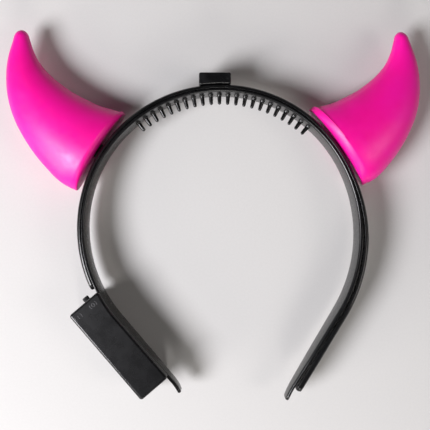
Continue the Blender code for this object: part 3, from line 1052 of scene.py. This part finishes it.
    def cap_rings(self, wall: float, shares: np.ndarray) -> np.ndarray:
        """Rings of the round tip past the last section: drawn in by cos a (1 - k sin a), forward by sin a."""
        last = len(self.sections) - 1.0
        ring = self.rings(wall, np.array([last]), np.zeros(1), np.zeros(1))[0]
        middle = ring.mean(axis=0)
        end = self.sections[-1]
        along = np.array([end[1] - end[3], end[2] - end[0], 0.0])
        along *= (self.cap_length - wall) / np.linalg.norm(along)
        turn = (shares * math.pi / 2.0)[:, None, None]
        taper = 1.0 - self.cap_taper * np.sin(turn)
        return middle + (ring - middle) * np.cos(turn) * taper + along * np.sin(turn)

    def skin_rings(self, wall: float, fine: int) -> tuple[np.ndarray, np.ndarray]:
        """One skin from the hole's rim to the tip.

        Args:
            wall: how far inside the outer skin.
            fine: rings along the side.

        Returns:
            The rings, and for each how far it lies on the lip's rubbed edge.
        """
        floor = self.floor_rings(wall, np.linspace(0.0, 1.0, self.floor_steps)[:-1])
        inset, lift = self.lip_shares()
        lip = self.rings(wall, np.zeros(len(inset)), inset, wall + self.lip_height * lift)
        first = (wall + self.lip_height) / self.sections[1, 3]
        position = np.linspace(first, len(self.sections) - 1.0, fine)
        side = self.rings(wall, position, np.zeros(fine), np.zeros(fine))
        cap = self.cap_rings(wall, np.linspace(0.0, self.cap_close, self.cap_steps)[1:])
        rubbed = np.exp(-(((lift - self.lip_wear) / self.lip_wear_fade) ** 2))
        wear = np.concatenate([np.zeros(len(floor)), rubbed, np.zeros(fine + len(cap))])
        return np.concatenate([floor, lip, side, cap]), wear

    def place(self, points: np.ndarray) -> np.ndarray:
        """Scale, lean and mirror points for this side, and turn them onto the seat."""
        direction = math.radians(self.seat_angle)
        across = self.scale_across * points[..., 0] - self.lean * self.scale_along * points[..., 1]
        along = self.scale_along * points[..., 1]
        sign = self.side.value
        out = np.array([sign * math.cos(direction), math.sin(direction), 0.0])
        inward = np.array([-sign * math.sin(direction), math.cos(direction), 0.0])
        up = np.array([0.0, 0.0, 1.0])
        seat = self.path.seat(self.side, self.seat_angle, self.seat_radius)
        return seat + across[..., None] * inward + along[..., None] * out + points[..., 2:] * up

    def make(self, material: bpy.types.Material) -> bpy.types.Object:
        """Build the horn's two skins as one closed shell."""
        outer, outer_wear = self.skin_rings(0.0, self.outer_rings)
        inner, _ = self.skin_rings(self.wall, self.inner_rings)
        rings = self.place(np.concatenate([inner[::-1], outer]))
        wear = np.concatenate([np.zeros(len(inner)), outer_wear])[:, None] * np.ones(rings.shape[1])
        skin = Skin()
        skin.add(rings, wear)
        name = f"horn_{self.side.name.lower()}"
        return skin.build(f"{name}_smooth", material, name, "headband")


# ------------------------------------------------------------------ the battery box


@dataclass
class BatteryBox:
    """The box on the left arm, its slide switch and the marks beside it."""

    path: BandPath
    band: HairBand
    corner: tuple[float, float] = (-68.74, -48.51)
    slope_deg: float = 49.4
    length: float = 53.0
    depth: float = 24.5
    rounding: float = 1.2
    corner_round: float = 1.4
    gap: float = 0.3
    rim_offset: float = 0.05
    # First and last distance along the band that the box's side is worked out from, and the step
    band_reach: tuple[float, float, float] = (-195.0, -100.0, 0.25)
    side_points: int = 35
    # Height, half width, depth
    lid_seam: tuple[float, float, float] = (4.6, 0.25, 0.3)
    # Distances across and down run from the box's upper outer corner
    lever_rest: float = 10.0
    travel: float = 2.6
    lever_width: float = 3.2
    lever_height: float = 2.2
    lever_round: float = 0.6
    lever_inside: float = 2.9
    slot_middle: float = 16.0
    slot_outside: float = 3.0
    # Distance down the box, and how far the lever is drawn in there: two grip grooves and a round end
    lever_profile: np.ndarray = table(
        (2.9, 0.0),
        (0.3, 0.0),
        (-0.35, 0.0),
        (-0.55, 0.12),
        (-0.75, 0.0),
        (-1.0, 0.0),
        (-1.2, 0.12),
        (-1.4, 0.0),
        (-1.65, 0.0),
        (-1.85, 0.02),
        (-2.0, 0.09),
        (-2.1, 0.19),
        (-2.16, 0.32),
        (-2.19, 0.48),
        (-2.19, 0.54),
    )
    mark_down: float = 3.45
    mark_across: dict[SwitchMark, float] = field(
        default_factory=lambda: {SwitchMark.ON: 3.45, SwitchMark.OFF: 12.5}
    )
    # The arcs beside a mark: their centre and reach across, their reach down, and their quarter turns
    arc_centre: float = 1.25
    arc_across: float = 0.6
    arc_down: float = 1.1
    arc_turns: float = 0.62
    stroke_half: float = 0.85
    ring_across: float = 0.72
    ring_down: float = 0.88
    stroke_radius: float = 0.19
    stroke_height: float = 0.17
    stroke_sunk: float = 0.02

    @property
    def axes(self) -> tuple[np.ndarray, np.ndarray]:
        """Unit vectors across the upper end towards the band, and down the box."""
        slope = math.radians(self.slope_deg)
        return np.array([math.sin(slope), math.cos(slope)]), np.array([math.cos(slope), -math.sin(slope)])

    @property
    def band_stations(self) -> np.ndarray:
        """Distances along the band that the box's side is worked out from."""
        return np.arange(*self.band_reach)

    def point(self, across: np.ndarray, down: np.ndarray) -> np.ndarray:
        """Plan points from distances across the upper end towards the band, and down the box."""
        across_axis, down_axis = self.axes
        return self.corner + across[..., None] * across_axis + down[..., None] * down_axis

    def band_side(self, offset: np.ndarray) -> np.ndarray:
        """The side along the comb band, from the lower end to the upper one.

        Args:
            offset: how far out of the comb band's inner face it lies, at each of the band's stations.

        Returns:
            Columns of distance across and down the box, and distance along the band.
        """
        stations = self.band_stations
        point, normal = self.path.rail(stations)
        edge = point + normal * offset[:, None] - self.corner
        across, down = (edge @ axis for axis in self.axes)
        order = np.argsort(down)
        free = 2.0 * self.corner_round
        inside = np.linspace(self.length - free, free, self.side_points)
        downs = np.concatenate([[self.length], inside, [0.0]])
        across_at, along_at = (np.interp(downs, down[order], values[order]) for values in (across, stations))
        return np.stack([across_at, downs, along_at], axis=1)

    def outline(self, offset: np.ndarray) -> np.ndarray:
        """The box's plan with rounded corners, for a band side at an offset."""
        side = self.band_side(offset)
        ends = self.point(np.zeros(2), np.array([0.0, self.length]))
        corners = np.concatenate([ends, self.point(side[:, 0], side[:, 1])])
        radii = np.zeros(len(corners))
        radii[[0, 1, 2, -1]] = self.corner_round
        return rounded_outline(corners, radii)

    def rim_height(self, plan: np.ndarray) -> np.ndarray:
        """Where the rim over the band starts: just over the band's upper edge, lower towards its tip."""
        down = (plan - self.corner) @ self.axes[1]
        side = self.band_side(np.zeros_like(self.band_stations))[::-1]
        half = self.band.half_width(np.interp(down, side[:, 1], side[:, 2]))
        return self.path.mid_height + half + self.gap

    def make_box(self, material: bpy.types.Material) -> bpy.types.Object:
        """Build the box: a lid seam round it, a rim that reaches over the band, and the switch's slot."""
        stations = self.band_stations
        low = self.outline(self.band.layer(stations, 1) + self.gap)
        high = self.outline(np.full_like(stations, self.rim_offset))
        profile = block_profile(0.0, self.depth, self.rounding, (self.lid_seam,))
        upper = profile[:, 1] > self.depth - self.rounding - 0.01
        body, rim = profile[~upper], profile[upper]
        rings = np.concatenate(
            [
                lifted(drawn_in(low, body[:, 0]), body[:, 1]),
                *(np.column_stack([plan, self.rim_height(plan)])[None] for plan in (low, high)),
                lifted(drawn_in(high, rim[:, 0]), rim[:, 1]),
            ]
        )
        skin = Skin()
        skin.add(rings)
        box = skin.build("battery_box_smooth", material, "battery_box", "headband")
        self.cut_slot(box)
        return box

    def cut_slot(self, box: bpy.types.Object) -> None:
        """Cut the switch's slot into the box's upper end.

        The cut clears the finish values, so the box has its grit but no drag marks or rubbed edges.

        Args:
            box: the box's object, whose mesh is replaced by the cut one.
        """
        low = self.lever_rest - self.travel - self.lever_width / 2.0 - self.gap
        high = self.lever_rest + self.lever_width / 2.0 + self.gap
        half = self.lever_height / 2.0 + self.gap
        floor = self.lever_inside + self.gap
        outside = -self.slot_outside
        plan = self.point(np.array([low, high, high, low]), np.array([outside, outside, floor, floor]))
        heights = np.array([self.slot_middle - half, self.slot_middle + half])
        skin = Skin()
        skin.add(lifted(np.stack([plan, plan]), heights))
        cutter = new_object("switch_slot", np.concatenate(skin.points), skin.faces)
        cut = box.modifiers.new("slot", "BOOLEAN")
        cut.object = cutter
        cut.operation = "DIFFERENCE"
        cut.solver = "EXACT"
        bpy.context.view_layer.update()
        graph = bpy.context.evaluated_depsgraph_get()
        result = bpy.data.meshes.new_from_object(
            box.evaluated_get(graph), preserve_all_data_layers=True, depsgraph=graph
        )
        box.modifiers.clear()
        box.data = result
        box.data.set_sharp_from_angle(angle=math.radians(CREASE_DEG))
        bpy.data.objects.remove(cutter, do_unlink=True)

    def make_marks(self, material: bpy.types.Material) -> bpy.types.Object:
        """Build the raised marks beside the switch: a stroke for on and a ring for off, each between arcs."""
        skin = Skin()
        bend = np.linspace(-self.arc_turns, self.arc_turns, 13) * math.pi / 2.0
        round_turn = np.linspace(0.0, 2.0 * math.pi, 33)
        for mark, across in self.mark_across.items():
            for sign in (-1.0, 1.0):
                arc_x = across + sign * (self.arc_centre + self.arc_across * np.cos(bend))
                self.add_stroke(skin, arc_x, self.arc_down * np.sin(bend))
            if mark is SwitchMark.ON:
                line = np.linspace(-self.stroke_half, self.stroke_half, 7)
                self.add_stroke(skin, np.full(len(line), across), line)
            else:
                ring_x = across + self.ring_across * np.cos(round_turn)
                self.add_stroke(skin, ring_x, self.ring_down * np.sin(round_turn))
        return skin.build("switch_marks", material, "", "headband")

    def add_stroke(self, skin: Skin, across: np.ndarray, down: np.ndarray) -> None:
        """Add one raised stroke on the box's upper face.

        Args:
            skin: the marks' piece.
            across: distances across the box, along the stroke.
            down: distances down the box from the marks' middle line.
        """
        plan = self.point(across, self.mark_down + down)
        path = np.column_stack([plan, np.full(len(plan), self.depth - self.stroke_sunk)])
        skin.add(bead(path, self.stroke_radius, self.stroke_height), 1.0)

    def make_lever(self, material: bpy.types.Material) -> bpy.types.Object:
        """Build the lever: a rounded bar out of the slot, with grip grooves on the part that shows."""
        down, inset = self.lever_profile.T
        square = np.array([(-1.0, -1.0), (1.0, -1.0), (1.0, 1.0), (-1.0, 1.0)])
        corners = square * (self.lever_width / 2.0, self.lever_height / 2.0)
        outline = rounded_outline(corners, np.full(4, self.lever_round), 7)
        plan = drawn_in(outline, inset)
        across = self.lever_rest + plan[..., 0]
        where = self.point(across, np.broadcast_to(down[:, None], across.shape))
        rings = np.concatenate([where, self.slot_middle + plan[..., 1:]], axis=2)
        skin = Skin()
        skin.add(rings, np.clip(-down, 0.0, 1.0)[:, None] * np.ones(len(outline)))
        return skin.build("switch_lever_smooth", material, "switch_lever", "switch")


# ------------------------------------------------------------------ the studio


@dataclass
class Studio:
    """A pale paper floor that sweeps up all round, four soft lights and a camera straight above."""

    camera_place: tuple[float, float, float] = (0.96, -0.21, 351.5)
    # The frame's width at a distance from the lens
    frame_mm: float = 206.4
    frame_distance: float = 330.0
    sensor_mm: float = 36.0
    nearest_mm: float = 5.0
    floor_radius: float = 1500.0
    sweep_radius: float = 900.0
    sweep_top: float = 1800.0
    sweep_sides: int = 128
    sweep_steps: int = 17
    # Name, place, size, watts, colour
    lights: tuple[tuple[str, tuple[float, float, float], float, float, str], ...] = (
        ("key_left", (-570.0, -300.0, 690.0), 430.0, 10.6, "#FBFAFF"),
        ("edge_left", (-900.0, -520.0, 330.0), 460.0, 3.6, "#FFF8F2"),
        ("fill_right", (870.0, -260.0, 800.0), 480.0, 2.0, "#FFF8F4"),
        ("low_front", (40.0, -1120.0, 640.0), 380.0, 3.6, "#FFFCF8"),
    )
    # Height of the point that every light faces
    aim_height: float = 10.0
    world_hex: str = "#FFFFFF"
    world_strength: float = 0.05

    def make(self) -> None:
        """Build the floor, the lights, the surroundings and the camera."""
        self.make_floor(CoatedPaper().make())
        for row in self.lights:
            self.make_light(*row)
        self.make_world()
        self.make_camera()
        bpy.context.scene.view_settings.view_transform = "Standard"

    def make_light(
        self, name: str, place: tuple[float, float, float], size: float, watts: float, colour: str
    ) -> None:
        """Add a round soft light that faces the headband, unseen where a low view looks its way.

        Args:
            name: the light's name.
            place: its middle.
            size: its width.
            watts: its power.
            colour: sRGB hex.
        """
        light = bpy.data.lights.new(name, "AREA")
        light.shape = "DISK"
        light.size = size * MM
        light.energy = watts
        light.color = linear(colour)[:3]
        lamp = bpy.data.objects.new(name, light)
        lamp.location = [value * MM for value in place]
        lamp.visible_camera = False
        x, y, z = np.array(place) - np.array([0.0, 0.0, self.aim_height])
        lamp.rotation_euler = (math.atan2(math.hypot(x, y), z), 0.0, math.atan2(x, -y))
        bpy.context.scene.collection.objects.link(lamp)

    def make_world(self) -> None:
        """Set the faint even light that comes from all round."""
        world = bpy.data.worlds.new("studio")
        world.use_nodes = True
        background = world.node_tree.nodes["Background"]
        background.inputs["Color"].default_value = linear(self.world_hex)
        background.inputs["Strength"].default_value = self.world_strength
        bpy.context.scene.world = world

    def make_camera(self) -> None:
        """Add the camera, which looks straight down with +Y up in its picture."""
        data = bpy.data.cameras.new("camera")
        data.sensor_width = self.sensor_mm
        data.lens = self.sensor_mm * self.frame_distance / self.frame_mm
        data.clip_start = self.nearest_mm * MM
        camera = bpy.data.objects.new("camera", data)
        camera.location = [value * MM for value in self.camera_place]
        bpy.context.scene.collection.objects.link(camera)
        bpy.context.scene.camera = camera

    def make_floor(self, material: bpy.types.Material) -> bpy.types.Object:
        """Build the floor: a disc whose rim turns up on a quarter circle into a wall.

        Args:
            material: its paper.

        Returns:
            The floor.
        """
        turn = quarter(self.sweep_steps)
        sweep = self.floor_radius + self.sweep_radius * np.sin(turn)
        reach = np.concatenate([[self.floor_radius * 0.5], sweep, sweep[-1:]])
        height = np.concatenate([[0.0], self.sweep_radius * (1.0 - np.cos(turn)), [self.sweep_top]])
        angle = full_turn(self.sweep_sides)
        plan = reach[:, None, None] * np.stack([np.cos(angle), np.sin(angle)], axis=1)
        index = np.arange(len(reach) * self.sweep_sides).reshape(-1, self.sweep_sides)
        ahead = np.roll(index, -1, axis=1)
        quads = np.stack([index[:-1], index[1:], ahead[1:], ahead[:-1]], axis=-1).reshape(-1, 4)
        faces = [index[0].tolist(), *quads.tolist()]
        floor = new_object("floor", lifted(plan, height).reshape(-1, 3), faces)
        floor.data.shade_smooth()
        floor.data.materials.append(material)
        return floor


def dress_nodes(material: bpy.types.Material, *names: str) -> None:
    """Give CAD nodes that stay as they are a finish of their own.

    Args:
        material: the finish.
        names: the nodes.
    """
    for name in names:
        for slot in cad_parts[name].material_slots:
            slot.material = material
        log.info("%s: CAD shape kept", name)


def main() -> None:
    """Build the studio and every piece."""
    logging.basicConfig(level=logging.INFO, format="%(name)s: %(message)s")
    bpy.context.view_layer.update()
    Studio().make()
    # Soft, bright and slightly translucent pink, with a wide sheen
    vinyl = MouldedHornVinyl().make()
    # Semi-gloss black with drawn marks along the strips
    strip_black = MouldedBlackPlastic("moulded_black_polypropylene").make()
    # Even, fine-pitted black that breaks up reflections on the flat faces
    box_black = MouldedBlackPlastic(
        "spark_textured_black_abs",
        "#08080A",
        "#19191B",
        grit_mm=0.34,
        drag_along_mm=14.0,
        drag_across_mm=0.3,
        drag_depth_mm=0.002,
    ).make()
    # A slightly greyer, duller black that sets the lever off
    lever_black = MouldedBlackPlastic(
        "moulded_black_acetal", "#0C0C0D", "#1C1C1E", 0.34, grit_mm=0.2, grit_depth_mm=0.005
    ).make()
    # Raised edges rubbed to grey, so that the marks read against the box
    mark_black = MouldedBlackPlastic(
        "rubbed_raised_black_abs", "#2C2C2E", "#4A4A4D", 0.4, grit_mm=0.2, grit_depth_mm=0.004
    ).make()
    path = BandPath()
    band = HairBand(path)
    band.make_band(strip_black)
    band.make_cover(strip_black)
    CentreBlock(path).make(box_black)
    Horn(
        path,
        Side.LEFT,
        seat_angle=32.3,
        seat_radius=69.5,
        lean=0.005,
        scale_across=1.025,
        scale_along=1.0,
        lip_height=2.0,
        lip_bend_deg=14.0,
    ).make(vinyl)
    Horn(
        path,
        Side.RIGHT,
        seat_angle=35.0,
        seat_radius=68.6,
        lean=0.042,
        scale_across=1.04,
        scale_along=0.905,
        lip_height=3.3,
        lip_bend_deg=32.0,
    ).make(vinyl)
    box = BatteryBox(path, band)
    box.make_box(box_black)
    box.make_marks(mark_black)
    box.make_lever(lever_black)
    dress_nodes(strip_black, "post_left", "post_right")


if __name__ == "__main__":
    main()
